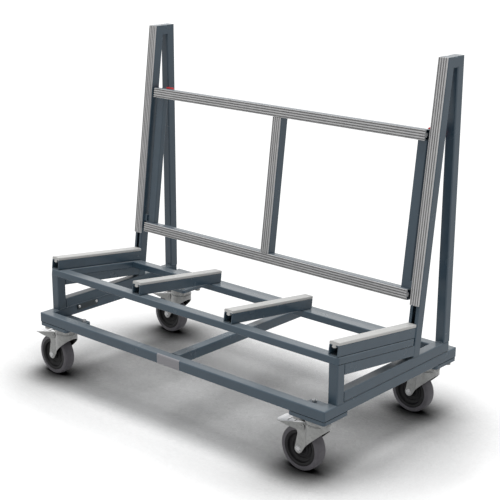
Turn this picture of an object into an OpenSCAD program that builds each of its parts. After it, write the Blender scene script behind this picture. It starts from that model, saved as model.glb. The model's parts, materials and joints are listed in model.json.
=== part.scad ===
// Sheet goods cart: a welded tube base on four braked swivel casters, two
// leaning side frames, a tipped bed of lined channels and a clamped back frame.
// +X runs along the cart, the loading side faces -Y, and the floor is z = 0.

/* [Base] */
// Length of the base frame
base_l = 1100; // [900:10:1600]
// Depth of the base frame
base_d = 600; // [520:5:800]
// Outer width and height of the square tube
tube = 30; // [25:1:40]
// Wall of every steel tube
tube_wall = 2; // [1.5:0.5:3]
// Corner radius of the square tube
tube_r = 4; // [3.5:0.5:5]
// Radius of the base frame's corners, seen from above
plan_r = 4; // [2:0.5:8]
// Height of the cart, floor to top
cart_h = 1030; // [850:5:1400]

/* [Side frames] */
// From the base's front face to the front posts
front_set = 50; // [20:1:90]
// From the base's rear face to the rear posts
rear_set = 37.5; // [20:0.5:60]
// From the rear posts' back face to the lower rails' ends
lower_set = 5; // [0:0.5:12]
// Room between the uprights and the rear posts at the top
tie_room = 15.5; // [8:0.5:40]
// How far the uprights and the bed lean back, in degrees
lean = 7.4; // [4:0.2:9]
// Gap under the tilted rail where it meets the upright
rail_lift = 4.5; // [2:0.5:20]

/* [Bed] */
// How far the bed frame reaches out in front of the front posts
bed_lap = 4.1; // [0:0.1:15]
// Width of the flat tube in the bed frame
bed_tube_w = 40; // [30:1:50]
// Height of the flat tube in the bed frame
bed_tube_h = 20; // [15:1:30]
// Corner radius of the flat tube
bed_tube_r = 3; // [2.5:0.5:4]
// Radius of the bed frame's corners, seen from above
bed_plan_r = 11; // [5:1:15]
// From the cart's end to the outer channels
channel_inset = 2.5; // [0:0.5:30]
// From the bed's front edge to the channels' ends
channel_set = 3; // [0:0.5:20]

/* [Slotted profile] */
// Width and depth of the slotted profile
slot_bar = 30; // [26:1:40]
// Wall of the slotted profile
slot_wall = 2.5; // [2:0.5:3]
// Corner radius of the slotted profile
slot_bar_r = 3; // [2.5:0.5:4]
// Width of the slot
slot_w = 11; // [8:0.5:13]

/* [Linings] */
// Width of the grooved lining
lining_w = 28; // [24:1:30]
// Height of the grooved lining in front of its profile
lining_t = 5; // [4:0.5:8]
// Number of grooves in the grooved lining
grooves = 4; // [2:1:6]
// Width of one groove
groove_w = 3.5; // [1.5:0.1:4.5]
// Depth of one groove
groove_t = 2.6; // [0.8:0.1:3]
// Height of the smooth bed lining above its channel
slide_t = 8; // [5:0.5:12]
// Radius of the bead that holds a lining in its slot
bead_r = 8; // [6.5:0.5:9]
// Where the linings of the uprights start, up from the foot
lining_start = 142.5; // [120:0.5:180]

/* [Back frame] */
// Room between the back frame and each upright
back_gap = 13; // [8:0.5:30]
// Underside of the bottom rail, up from the foot
back_low = 151; // [130:1:200]
// From the back frame up to the top of the uprights
top_clear = 190.2; // [120:0.2:260]
// Width of the plain stiles
stile_w = 30; // [20:1:40]
// Depth of the plain stiles
stile_t = 20; // [15:1:25]
// Height of the tabs that carry the back frame
tab_h = 20; // [12:1:30]
// Depth of the tabs that carry the back frame
tab_t = 12; // [8:1:18]

/* [Clamp knobs] */
// Diameter of the knob's head
knob_d = 40; // [32:1:44]
// Thickness of the knob's head
knob_t = 18; // [12:1:24]
// Diameter of the knob's neck
knob_neck_d = 20; // [14:1:24]
// Length of the knob's neck
knob_neck_l = 9; // [6:1:14]
// Diameter of the knob's screw
knob_screw_d = 10; // [8:1:12]
// Thickness of the clamp plate
clamp_t = 4; // [3:0.5:6]
// Height of the clamp plate
clamp_h = 28; // [20:1:30]
// From the back frame's end to the knob's centre
knob_inset = 13; // [11:0.5:20]

/* [Caster plates] */
// Length of the welded plate under each corner
plate_l = 118; // [110:1:140]
// Depth of the welded plate under each corner
plate_d = 100; // [98:1:120]
// Thickness of the welded plate
plate_t = 10; // [6:0.5:12]
// Length of the caster's own top plate
head_l = 100; // [96:1:110]
// Depth of the caster's own top plate
head_d = 88; // [86:1:98]
// Thickness of the caster's own top plate
head_t = 3.5; // [2.5:0.5:5]
// Bolt spacing along the cart
bolt_x = 84; // [78:1:86]
// Bolt spacing across the cart
bolt_y = 71; // [66:1:73]
// Diameter of the plate bolts
bolt_d = 8; // [6:1:10]
// From the base's end to the swivel axis
axis_x = 58.6; // [56:0.2:70]
// From the base's front or rear face to the swivel axis
axis_y = 51.3; // [49:0.1:62]

/* [Casters] */
// Diameter of the wheel over the tyre
wheel_d = 125; // [110:1:128]
// Width of the wheel
wheel_w = 35; // [28:1:38]
// Height of the caster below the welded plate
caster_h = 166; // [164:1:180]
// How far the wheel's axle trails the swivel axis
trail = 47; // [44:0.5:50]
// Thickness of the tyre
tyre_t = 17; // [12:0.5:20]
// Width over the fork's cheeks
fork_w = 44; // [42:1:48]
// Sheet thickness of the fork
fork_t = 2.5; // [2:0.5:3]
// Radius of the fork's round crown
crown_r = 33.5; // [32:0.5:36]
// Height of the crown's shoulder above the floor
crown_top = 143; // [140:0.5:146]
// Radius of the cheek round the axle
boss_r = 12; // [10:0.5:14]
// Diameter of the axle
axle_d = 10; // [8:1:12]
// Length of the brake pedal behind the swivel axis
pedal_reach = 121; // [115:1:126]
// How far the pedal swings down, in degrees
pedal_swing = 8; // [4:1:9]

/* [Hidden] */
$fn = 64;
channels = 4;
corner_names = ["front_left", "front_right", "rear_left", "rear_right"];
caster_parts = ["fork", "axle", "hub", "tyre", "pedal"];

// How far a cut runs past the face it opens
overrun = 2;
// Radial clearance of a shaft that turns in its hole
running = 0.05;
// Room between a lining's key and its slot
key_play = 0.5;
// Room between faces that pass each other
pass_gap = 0.3;
// Room round a bolt in its plate
bolt_play = 0.3;
// Smallest inner corner radius
least_r = 0.5;
// Corner radius of the welded plates and of the casters' own plates
plate_r = 8;
head_r = 6;
// How deep the key of a lining reaches into its head
key_root = 1;
// How far the bead's centre lies under the slotted face
bead_sink = 0.8;
// Edge radius of the fork's crown
crown_edge = 4;
// Sheet thickness of the pedal
pedal_t = 2;
// Radius of the pedal's round ends at its pivot
pedal_end_r = 10.5;
// Diameter of the pedal's pivot pins
pivot_d = 6;
// How far the pivot pins stand out past the pedal
pivot_out = 1;
// Corner radius of the pedal's tip
tip_r = 9;
// Diameter of the kingpin
king_d = 12;
// Diameter and thickness of the kingpin's head
king_head_d = 22;
king_head_t = 9;
// Half width over the corners and height of the bolt heads
bolt_head_r = 7.5;
bolt_head_t = 5;
// How far the bolts stop under the top of the welded plate
bolt_short = 0.5;
// Thickness of the nut on the one bolt of each plate that no rail covers
nut_t = 6.5;
// How far that bolt stands out of its nut
bolt_past = 2;
// Base radius, top radius and thickness of the axle's domed caps
cap_r = 9;
cap_top_r = 6;
cap_t = 5;
// Radius of the wheel's central boss
hub_boss_r = 14;
// Radial thickness of the wheel's rim
rim_t = 7.5;
// From the tyre's side to the rim's side
rim_inset = 2;
// Thickness of the disc between boss and rim
disc_t = 12;
// Width and depth of the rings turned into the disc
ring_w = 3;
ring_t = 2;
// Shoulder radius of the tyre
tyre_edge = 6;
// How far the knob's screw reaches into the back frame
screw_bite = 6;
// Radius and number of the knob's finger hollows
hollow_r = 6;
hollows = 6;
// Edge chamfer of the knob
knob_edge = 2;
// From the cart's end to the clamp plate
clamp_inset = 10;
// How far the clamp plate reaches past the knob
clamp_past = 12;
// From the bottom rail to the tabs
tab_up = 3;
// From the profile's face to the tabs
tab_in = 5;

// Outline of the fork, shares of trail and of crown height
fork_shares = [[-1.255, 0.437], [-1.157, 0.594], [-1.064, 0.741], [-1.085, 0.78], [-1.16, 0.81],
    [-1.277, 0.822], [-1.277, 0.885], [-0.979, 0.927], [-0.723, 0.968], [-0.716, 1.02],
    [0.75, 1.02], [0.75, 0.914], [-0.5375, 0.5217], [-0.798, 0.386], [-1, 0.38]];
// Upper face of the pedal, shares of its length behind the pivot and of crown height
web_shares = [[0.1524, 0.9965], [0, 0.9860], [-0.4643, 0.9231], [-0.8214, 0.8706], [-0.9167, 0.868],
    [-1, 0.886]];
// Outline of the pedal's side, shares of the same
side_shares = [[0, 0.9860], [-0.4643, 0.9231], [-0.8214, 0.8706], [-0.8333, 0.853],
    [-0.5357, 0.829], [-0.2738, 0.8224], [0, 0.8322]];
// Room between the pedal and the round of the crown
horn_gap = 1;
// Where the pedal's tread starts and where it is slit, shares of its length behind the pivot
tread_share = 0.345;
slit_share = 0.65;
// Width of the opening ahead of the tread
open_w = 36;
// Width and length of the slit
slit_w = 4;
slit_l = 28;
// From the crown back to the pedal's pivot
pivot_back = 3.5;
// Height of the pedal's pivot, share of crown height
pivot_share = 0.9056;
// Outline of the swivel race, shares of crown radius and of its height
race_shares = [[0, 0], [0.9, 0], [0.9, 0.1], [0.97, 0.16], [0.97, 1], [0, 1]];

overhang = pedal_reach - axis_x;
pivot_x = -crown_r - pivot_back;
pivot_z = pivot_share * crown_top;
pedal_l = pedal_reach + pivot_x;
base_z = caster_h + plate_t;
base_top = base_z + tube;
foot_z = base_top + tube;
post_back = front_set + tube;
rear_front = base_d - rear_set - tube;
rear_back = base_d - rear_set;
foot_set = rear_front - tie_room - slot_bar / cos(lean) - (cart_h - foot_z) * tan(lean);
bed_low = rail_lift + tube;
bed_depth = (foot_set + bed_low * sin(lean) - front_set + bed_lap) / cos(lean);
channel_low = bed_low + bed_tube_h;
slide_low = channel_low + slot_bar;
channel_l = bed_depth - channel_set;
channel_step = (base_l - 2 * channel_inset - slot_bar) / (channels - 1);
groove_step = lining_w / grooves;
upright_l = (cart_h - foot_z + slot_bar) / cos(lean);
back_x = slot_bar + back_gap;
back_l = base_l - 2 * back_x;
back_high = (cart_h - foot_z) / cos(lean) - top_clear - slot_bar;
stile_low = back_low + slot_bar;
stile_l = back_high - stile_low;
clamp_mid = back_high + slot_bar / 2;
knob_x = back_x + knob_inset;
clamp_l = knob_x + clamp_past - clamp_inset;
neck_low = slot_bar + clamp_t + pass_gap;
axle_z = wheel_d / 2;
hub_r = wheel_d / 2 - tyre_t;
cheek_in = fork_w / 2 - fork_t;
hub_half = cheek_in - pass_gap;
head_z = caster_h - head_t;
race_z = crown_top + pass_gap;
corner_xs = [axis_x, base_l - axis_x, axis_x, base_l - axis_x];
corner_ys = [axis_y, axis_y, base_d - axis_y, base_d - axis_y];
nut_sides = [[1, 1], [-1, 1], [1, -1], [-1, -1]];
plate_xs = [0, base_l - plate_l, 0, base_l - plate_l];
plate_ys = [0, 0, base_d - plate_d, base_d - plate_d];

// Puts the base's corner where the record's origin wants it
module placed() translate([-(base_l - overhang) / 2, -base_d / 2, 0]) children();

// Local frame of the leaning parts: Y backwards, Z up, origin at the foot
module leaned() translate([0, foot_set, foot_z]) rotate([-lean, 0, 0]) children();

module at_corner(c) placed() translate([corner_xs[c], corner_ys[c], 0]) children();

// Both side frames
module both_sides() {
    children();
    translate([base_l - tube, 0, 0]) children();
}

module rounded(w, h, r) {
    translate([r, 0]) square([w - 2 * r, h]);
    translate([0, r]) square([w, h - 2 * r]);
    for (x = [r, w - r], y = [r, h - r]) translate([x, y]) circle(r = r);
}

module rounded_inner(w, h, r, wall) {
    translate([wall, wall]) rounded(w - 2 * wall, h - 2 * wall, max(r - wall, least_r));
}

module tube_section(w, h, r) {
    difference() {
        rounded(w, h, r);
        rounded_inner(w, h, r, tube_wall);
    }
}

// Runs a section along X, its own x across and its own y up
module along_x(l) rotate([90, 0, 90]) linear_extrude(l) children();

// Runs a section along Y, its own x along X and its own y up
module along_y(l) translate([0, l, 0]) rotate([90, 0, 0]) linear_extrude(l) children();

// Plan of one mitred rail of a frame, sides in the order front, back, left, right
function mitre(l, d, w, side) =
    side == 0 ? [[0, 0], [l, 0], [l - w, w], [w, w]] :
    side == 1 ? [[0, d], [w, d - w], [l - w, d - w], [l, d]] :
    side == 2 ? [[0, 0], [w, w], [w, d - w], [0, d]] :
    [[l, 0], [l, d], [l - w, d - w], [l - w, w]];

module rail_bar(l, d, w, h, r, side, wall) {
    x = side == 3 ? l - w : 0;
    y = side == 1 ? d - w : 0;
    translate([x, y, 0]) {
        if (side < 2) along_x(l) rounded_or_inner(w, h, r, wall);
        else along_y(d) rounded_or_inner(w, h, r, wall);
    }
}

module rounded_or_inner(w, h, r, wall) {
    if (wall == 0) rounded(w, h, r);
    else rounded_inner(w, h, r, wall);
}

// One hollow rail of a rectangular frame with mitred, rounded corners
module frame_rail(l, d, w, h, r, corner, side) {
    difference() {
        intersection() {
            rail_bar(l, d, w, h, r, side, 0);
            linear_extrude(h) intersection() {
                rounded(l, d, corner);
                polygon(mitre(l, d, w, side));
            }
        }
        intersection() {
            rail_bar(l, d, w, h, r, side, tube_wall);
            linear_extrude(h) rounded_inner(l, d, corner, tube_wall);
        }
    }
}

module base_rail(side) {
    color("#4F5B63") placed() translate([0, 0, base_z])
        frame_rail(base_l, base_d, tube, tube, tube_r, plan_r, side);
}

module base_cross_rail() {
    color("#4F5B63") placed() translate([(base_l - tube) / 2, tube, base_z])
        along_y(base_d - 2 * tube) tube_section(tube, tube, tube_r);
}

module bolt_places() {
    for (x = [-bolt_x / 2, bolt_x / 2], y = [-bolt_y / 2, bolt_y / 2]) translate([x, y]) children();
}

module corner_plates() {
    color("#4F5B63") placed() for (c = [0:3]) translate([0, 0, caster_h])
        linear_extrude(plate_t) difference() {
            translate([plate_xs[c], plate_ys[c]]) rounded(plate_l, plate_d, plate_r);
            translate([corner_xs[c], corner_ys[c]]) bolt_places() circle(d = bolt_d + 2 * bolt_play);
        }
}

module lower_rails() {
    color("#4F5B63") placed() both_sides() translate([0, post_back, base_top])
        along_y(rear_back - lower_set - post_back) tube_section(tube, tube, tube_r);
}

module front_posts() {
    color("#4F5B63") placed() both_sides() intersection() {
        translate([0, front_set, base_top]) linear_extrude(cart_h) tube_section(tube, tube, tube_r);
        leaned() translate([-overrun, -base_d, bed_low - cart_h]) cube([tube + 2 * overrun, base_d, cart_h]);
    }
}

module tilted_rails() {
    color("#4F5B63") placed() both_sides() intersection() {
        leaned() translate([0, -base_d, rail_lift]) along_y(base_d) tube_section(tube, tube, tube_r);
        translate([-overrun, post_back, 0]) cube([tube + 2 * overrun, base_d, cart_h]);
    }
}

module rear_posts() {
    color("#4F5B63") placed() both_sides() translate([0, rear_front, foot_z]) difference() {
        linear_extrude(cart_h - foot_z) rounded(tube, tube, tube_r);
        translate([0, 0, -overrun]) linear_extrude(cart_h - foot_z - tube_wall + overrun)
            rounded_inner(tube, tube, tube_r, tube_wall);
    }
}

module top_ties() {
    color("#4F5B63") placed() both_sides() intersection() {
        translate([0, 0, cart_h - tube]) along_y(rear_front) tube_section(tube, tube, tube_r);
        leaned() translate([-overrun, slot_bar, 0]) cube([tube + 2 * overrun, base_d, cart_h]);
    }
}

// Slotted profile: slot up, face on the x axis, centred on the y axis
module slot_outer() translate([-slot_bar / 2, -slot_bar]) rounded(slot_bar, slot_bar, slot_bar_r);

module slot_hollow() {
    translate([-slot_bar / 2, -slot_bar]) rounded_inner(slot_bar, slot_bar, slot_bar_r, slot_wall);
    translate([-slot_w / 2, -slot_bar / 2]) square([slot_w, slot_bar / 2 + overrun]);
}

module slot_section() {
    difference() {
        slot_outer();
        slot_hollow();
    }
}

// Key of a lining: a stem through the slot and a bead behind it
module lining_key() {
    translate([-slot_w / 2 + key_play, -slot_wall - key_play - key_root])
        square([slot_w - 2 * key_play, slot_wall + key_play + 2 * key_root]);
    intersection() {
        translate([0, -bead_sink]) circle(r = bead_r);
        translate([-bead_r, -slot_wall - key_play - bead_r]) square([2 * bead_r, bead_r]);
    }
}

module grooved_head() {
    difference() {
        translate([-lining_w / 2, 0]) square([lining_w, lining_t]);
        for (i = [0:grooves - 1])
            translate([(i + 1 / 2) * groove_step - (lining_w + groove_w) / 2, lining_t - groove_t])
                square([groove_w, groove_t + overrun]);
    }
}

module grooved_section() {
    grooved_head();
    lining_key();
}

// Band between two heights
module band(low, high) translate([-overrun, 0, low]) cube([base_l + 2 * overrun, base_d, high - low]);

module upright(x) {
    color("#4F5B63") placed() difference() {
        intersection() {
            leaned() translate([x + slot_bar / 2, 0, 0]) rotate([0, 0, 180]) linear_extrude(upright_l)
                slot_outer();
            band(foot_z, cart_h);
        }
        intersection() {
            leaned() translate([x + slot_bar / 2, 0, -overrun]) rotate([0, 0, 180])
                linear_extrude(upright_l) slot_hollow();
            band(foot_z - overrun, cart_h - tube_wall);
        }
    }
}

module upright_linings() {
    color("#9B9B99") placed() for (x = [slot_bar / 2, base_l - slot_bar / 2]) {
        intersection() {
            leaned() translate([x, 0, lining_start]) rotate([0, 0, 180]) linear_extrude(upright_l)
                grooved_head();
            band(foot_z, cart_h);
        }
        intersection() {
            leaned() translate([x, 0, lining_start]) rotate([0, 0, 180]) linear_extrude(upright_l)
                lining_key();
            band(foot_z, cart_h - tube_wall - key_play);
        }
    }
}

module bed_rail(side) {
    color("#4F5B63") placed() leaned() translate([0, -bed_depth, bed_low])
        frame_rail(base_l, bed_depth, bed_tube_w, bed_tube_h, bed_tube_r, bed_plan_r, side);
}

module channel(i) {
    color("#4F5B63") placed() leaned()
        translate([channel_inset + slot_bar / 2 + (i - 1) * channel_step, -channel_l, slide_low])
            along_y(channel_l) slot_section();
}

module slide_lining(i) {
    color("#D9D9D9") placed() leaned()
        translate([channel_inset + slot_bar / 2 + (i - 1) * channel_step, -channel_l, slide_low])
            along_y(channel_l) {
                translate([-slot_bar / 2, 0]) square([slot_bar, slide_t]);
                lining_key();
            }
}

// Runs a slotted section along X, its slot to the front
module along_back(z) placed() leaned() translate([back_x, 0, z + slot_bar / 2]) rotate([180, -90, 0])
    linear_extrude(back_l) children();

module back_bottom_rail() {
    color("#4F5B63") along_back(back_low) slot_section();
}

module screw_places() {
    for (x = [knob_x, base_l - knob_x]) translate([x, 0, clamp_mid]) rotate([-90, 0, 0]) children();
}

module back_top_rail() {
    color("#4F5B63") difference() {
        along_back(back_high) slot_section();
        placed() leaned() screw_places() translate([0, 0, slot_bar - slot_wall - overrun])
            cylinder(d = knob_screw_d + 2 * running, h = slot_wall + 2 * overrun);
    }
}

module bottom_rail_lining() {
    color("#9B9B99") along_back(back_low) grooved_section();
}

module top_rail_lining() {
    color("#9B9B99") along_back(back_high) grooved_section();
}

module back_stile(x) {
    color("#4F5B63") placed() leaned() translate([x, slot_bar - stile_t, stile_low])
        linear_extrude(stile_l) tube_section(stile_w, stile_t, bed_tube_r);
}

module back_middle_stile() {
    color("#4F5B63") placed() leaned() translate([base_l / 2, 0, stile_low]) rotate([0, 0, 180])
        linear_extrude(stile_l) slot_section();
}

module middle_lining() {
    color("#9B9B99") placed() leaned() translate([base_l / 2, 0, stile_low]) rotate([0, 0, 180])
        linear_extrude(stile_l) grooved_section();
}

// The tabs below and the clamp plates above that carry the back frame
module tabs_and_plates() {
    color("#4F5B63") placed() leaned() {
        for (x = [slot_bar, base_l - back_x])
            translate([x, tab_in, stile_low + tab_up]) cube([back_gap, tab_t, tab_h]);
        difference() {
            for (x = [clamp_inset, base_l - clamp_inset - clamp_l])
                translate([x, slot_bar, clamp_mid - clamp_h / 2]) cube([clamp_l, clamp_t, clamp_h]);
            screw_places() translate([0, 0, slot_bar - overrun])
                cylinder(d = knob_screw_d + 2 * running, h = clamp_t + 2 * overrun);
        }
    }
}

module knob(x) {
    color("#C0282D") placed() leaned() translate([x, 0, clamp_mid]) rotate([-90, 0, 0]) {
        translate([0, 0, neck_low - pass_gap - clamp_t - slot_wall - screw_bite])
            cylinder(d = knob_screw_d, h = slot_wall + screw_bite + clamp_t + 2 * pass_gap);
        translate([0, 0, neck_low]) cylinder(d = knob_neck_d, h = knob_neck_l + knob_edge);
        translate([0, 0, neck_low + knob_neck_l]) difference() {
            rotate_extrude() {
                square([knob_d / 2 - knob_edge, knob_t]);
                translate([0, knob_edge]) square([knob_d / 2, knob_t - 2 * knob_edge]);
            }
            for (i = [0:hollows - 1]) rotate([0, 0, i * 360 / hollows])
                translate([knob_d / 2 + hollow_r / 2, 0, -overrun])
                    cylinder(r = hollow_r, h = knob_t + 2 * overrun);
        }
    }
}

module plate_bolts() {
    color("#8A8B89") for (c = [0:3]) at_corner(c) {
        bolt_places() {
            translate([0, 0, head_z - bolt_head_t]) cylinder(r = bolt_head_r, h = bolt_head_t, $fn = 6);
            translate([0, 0, head_z - bolt_head_t / 2])
                cylinder(d = bolt_d, h = head_t + plate_t + bolt_head_t / 2 - bolt_short);
        }
        translate([nut_sides[c][0] * bolt_x / 2, nut_sides[c][1] * bolt_y / 2, head_z]) {
            cylinder(d = bolt_d, h = head_t + plate_t + nut_t + bolt_past);
            translate([0, 0, head_t + plate_t]) cylinder(r = bolt_head_r, h = nut_t, $fn = 6);
        }
    }
}

module caster_heads() {
    color("#8A8B89") for (c = [0:3]) at_corner(c) {
        translate([0, 0, head_z]) linear_extrude(head_t) difference() {
            translate([-head_l / 2, -head_d / 2]) rounded(head_l, head_d, head_r);
            bolt_places() circle(d = bolt_d + 2 * bolt_play);
        }
        translate([0, 0, race_z]) rotate_extrude()
            polygon([for (s = race_shares) [s[0] * crown_r, s[1] * (head_z - race_z)]]);
    }
}

module kingpins() {
    color("#8A8B89") for (c = [0:3]) at_corner(c) {
        translate([0, 0, crown_top - fork_t - pass_gap - king_head_t])
            cylinder(d = king_head_d, h = king_head_t);
        translate([0, 0, crown_top - fork_t - pass_gap - king_head_t])
            cylinder(d = king_d, h = king_head_t + fork_t + 2 * pass_gap);
    }
}

// Round crown with its shoulder, solid
module crown(r, top, edge) {
    rotate_extrude() {
        square([r, top - edge]);
        square([r - edge, top]);
        translate([r - edge, top - edge]) circle(r = edge);
    }
}

// Swings XZ outlines up and runs them across the caster
module across(w) translate([0, w / 2, 0]) rotate([90, 0, 0]) linear_extrude(w) children();

module fork() {
    color("#8A8B89") {
        difference() {
            intersection() {
                union() {
                    crown(crown_r, crown_top, crown_edge);
                    translate([-2 * trail, -fork_w / 2, 0]) cube([2 * trail, fork_w, crown_top - crown_edge]);
                }
                across(fork_w + crown_r) {
                    polygon([for (s = fork_shares) [s[0] * trail, s[1] * crown_top]]);
                    translate([-trail, axle_z]) circle(r = boss_r);
                }
            }
            crown(crown_r - fork_t, crown_top - fork_t, crown_edge - fork_t);
            translate([-2 * trail - overrun, -cheek_in, -overrun])
                cube([2 * trail + overrun, 2 * cheek_in, crown_top - fork_t + overrun]);
            translate([0, 0, crown_top - fork_t - overrun])
                cylinder(d = king_d + 2 * running, h = fork_t + 2 * overrun);
            translate([-trail, 0, axle_z]) across(fork_w + 2 * overrun) circle(d = axle_d + 2 * running);
        }
        for (s = [0, 1]) mirror([0, s, 0])
            translate([pivot_x, -fork_w / 2 + fork_t / 2, pivot_z])
                rotate([90, 0, 0]) cylinder(d = pivot_d, h = fork_t / 2 + pass_gap + pedal_t + pivot_out);
    }
}

module axle() {
    color("#8A8B89") translate([-trail, 0, axle_z]) {
        across(fork_w + 2 * cap_t) circle(d = axle_d);
        for (s = [0, 1]) mirror([0, s, 0]) translate([0, -fork_w / 2, 0]) rotate([90, 0, 0])
            cylinder(r1 = cap_r, r2 = cap_top_r, h = cap_t);
    }
}

module hub() {
    color("#1D1D1D") translate([-trail, 0, axle_z]) rotate([90, 0, 0]) rotate_extrude() difference() {
        union() {
            translate([0, -hub_half]) square([hub_boss_r, 2 * hub_half]);
            translate([0, -disc_t / 2]) square([hub_r, disc_t]);
            translate([hub_r - rim_t, -wheel_w / 2 + rim_inset])
                square([rim_t, wheel_w - 2 * rim_inset]);
        }
        translate([-overrun, -wheel_w]) square([overrun + axle_d / 2 + running, 2 * wheel_w]);
        for (y = [-disc_t / 2 - overrun, disc_t / 2 - ring_t])
            translate([(hub_boss_r + hub_r - rim_t) / 2, y]) square([ring_w, ring_t + overrun]);
    }
}

module tyre() {
    color("#4F4D53") translate([-trail, 0, axle_z]) rotate([90, 0, 0]) rotate_extrude()
        translate([hub_r, -wheel_w / 2]) {
            rounded(tyre_t, wheel_w, tyre_edge);
            square([tyre_t / 2, wheel_w]);
        }
}

module pedal() {
    web = [for (s = web_shares) [pivot_x + s[0] * pedal_l, s[1] * crown_top]];
    under = [for (i = [len(web) - 1:-1:0]) [web[i][0], web[i][1] - pedal_t]];
    outer = fork_w + 2 * pass_gap + 2 * pedal_t;
    color("#8A8B89") difference() {
        union() {
            intersection() {
                across(outer) polygon(concat(web, under));
                translate([-pedal_reach, -outer / 2, 0]) linear_extrude(crown_top) difference() {
                    rounded(2 * pedal_reach, outer, tip_r);
                    translate([pedal_reach, outer / 2]) circle(r = crown_r + horn_gap);
                    translate([pedal_reach, 0]) square([pedal_reach, outer]);
                }
            }
            difference() {
                across(outer) {
                    polygon([for (s = side_shares) [pivot_x + s[0] * pedal_l, s[1] * crown_top]]);
                    translate([pivot_x, pivot_z]) circle(r = pedal_end_r);
                }
                across(outer - 2 * pedal_t) square([2 * pedal_reach, 2 * crown_top], center = true);
            }
        }
        translate([pivot_x - tread_share * pedal_l, -open_w / 2, 0])
            cube([tread_share * pedal_l - pivot_x, open_w, 2 * crown_top]);
        translate([pivot_x - slit_share * pedal_l, -slit_l / 2, 0])
            cube([slit_w, slit_l, 2 * crown_top]);
        translate([pivot_x, 0, pivot_z])
            across(outer + 2 * overrun) circle(d = pivot_d + 2 * running);
    }
}

base_rail(0);  // base_front_rail
base_rail(1);  // base_back_rail
base_rail(2);  // base_left_rail
base_rail(3);  // base_right_rail
base_cross_rail();
corner_plates();
lower_rails();
front_posts();
tilted_rails();
rear_posts();
upright(0);  // left_upright
upright(base_l - slot_bar);  // right_upright
top_ties();
bed_rail(0);  // bed_front_rail
bed_rail(1);  // bed_back_rail
bed_rail(2);  // bed_left_rail
bed_rail(3);  // bed_right_rail
for (i = [1:channels]) {
    channel(i);
    slide_lining(i);
}
upright_linings();
back_bottom_rail();
back_top_rail();
back_stile(back_x);  // back_left_stile
back_stile(base_l - back_x - stile_w);  // back_right_stile
back_middle_stile();
bottom_rail_lining();
top_rail_lining();
middle_lining();
tabs_and_plates();
knob(knob_x);  // left_knob
knob(base_l - knob_x);  // right_knob
plate_bolts();
caster_heads();
kingpins();
for (c = [0:3]) {
    at_corner(c) fork();
    at_corner(c) axle();
    at_corner(c) hub();
    at_corner(c) tyre();
    at_corner(c) pedal();
}
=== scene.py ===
"""A sheet goods cart of welded tube on four braked swivel casters, dressed for its picture.

Lengths are written in millimetres in the cart's own base frame: X from the base's left end, Y from
its front face, Z from the floor. place() turns them into the part's frame in metres, and lean()
turns the leaning frame's U (backwards) and V (up the uprights) into the base frame. A caster's own
frame has the same axes, with X and Y from its swivel axis.
"""
import json
import math

import bpy
import numpy as np
from mathutils import Matrix


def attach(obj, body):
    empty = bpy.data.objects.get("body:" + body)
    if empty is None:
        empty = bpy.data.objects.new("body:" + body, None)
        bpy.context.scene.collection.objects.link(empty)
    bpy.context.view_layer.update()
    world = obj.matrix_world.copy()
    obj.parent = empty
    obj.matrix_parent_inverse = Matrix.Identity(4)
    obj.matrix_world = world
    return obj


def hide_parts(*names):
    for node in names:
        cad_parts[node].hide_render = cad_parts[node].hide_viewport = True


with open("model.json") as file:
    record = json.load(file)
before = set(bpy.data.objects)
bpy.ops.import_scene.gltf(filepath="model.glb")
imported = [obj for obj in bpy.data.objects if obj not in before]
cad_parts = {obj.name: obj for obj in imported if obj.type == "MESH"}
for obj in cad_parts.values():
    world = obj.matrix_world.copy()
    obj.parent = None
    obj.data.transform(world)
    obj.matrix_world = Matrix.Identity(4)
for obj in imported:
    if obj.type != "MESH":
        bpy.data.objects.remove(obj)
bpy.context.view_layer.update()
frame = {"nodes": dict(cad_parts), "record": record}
nodes = frame["nodes"]

MM = 0.001
CENTRE = np.array([518.8, 300.0, 0.0])

# The base: its length and depth, the width and corner radius of its square tube (the slotted bars are
# as wide), and the underside and top of its rails
BASE_L, BASE_D = 1100.0, 600.0
TUBE, TUBE_ROUND = 30.0, 4.0
RAIL_LOW, RAIL_TOP = 176.0, 206.0

# The side frames: their posts' front faces, the top of their lower rails, and the cart's top
FRONT_POST_Y, REAR_POST_Y = 50.0, 532.5
SIDE_TOP, CART_TOP = 236.0, 1030.0

# The lean of the uprights and the back frame, and where it starts
LEAN = math.radians(7.4)
FOOT = np.array([0.0, 383.6254, SIDE_TOP])

# The back frame: V of the middles of its bottom and top rails, and X of their left ends
BACK_LOW, BACK_TOP, BACK_END = 166.0, 595.4686, 43.0

# The bed's channels: length, X of the first one's middle, and V of their slotted faces
CHANNEL_L, CHANNEL_X, CHANNEL_V = 342.0, 17.5, 84.5

# The casters: swivel axis, trail, height of the axle, and the four plate bolts round the axis
AXIS_X, AXIS_Y, TRAIL, AXLE_Z = 58.6, 51.3, 47.0, 62.5
BOLT_X, BOLT_Y = 42.0, 35.5
CORNERS = {
    "front_left": (AXIS_X, AXIS_Y),
    "front_right": (BASE_L - AXIS_X, AXIS_Y),
    "rear_left": (AXIS_X, BASE_D - AXIS_Y),
    "rear_right": (BASE_L - AXIS_X, BASE_D - AXIS_Y),
}

# The brake pedal: X and Z of its top sheet's ends and bends, X and Z of its pivot, and how far its
# cheeks' outer faces are from its middle
PEDAL_X = np.array([-24.2, -37.0, -76.0, -106.0, -114.0, -121.0])
PEDAL_Z = np.array([142.5, 141.0, 132.0, 124.5, 124.1, 126.7])
PIVOT_X, PIVOT_Z, CHEEK_Y = -37.0, 129.5, 24.3

# Light: strength of the dome, strength of the lamp and its spread in degrees
DOME_LEVEL, SUN_LEVEL, SUN_SPREAD = 0.28, 2.6, 40.0

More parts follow.
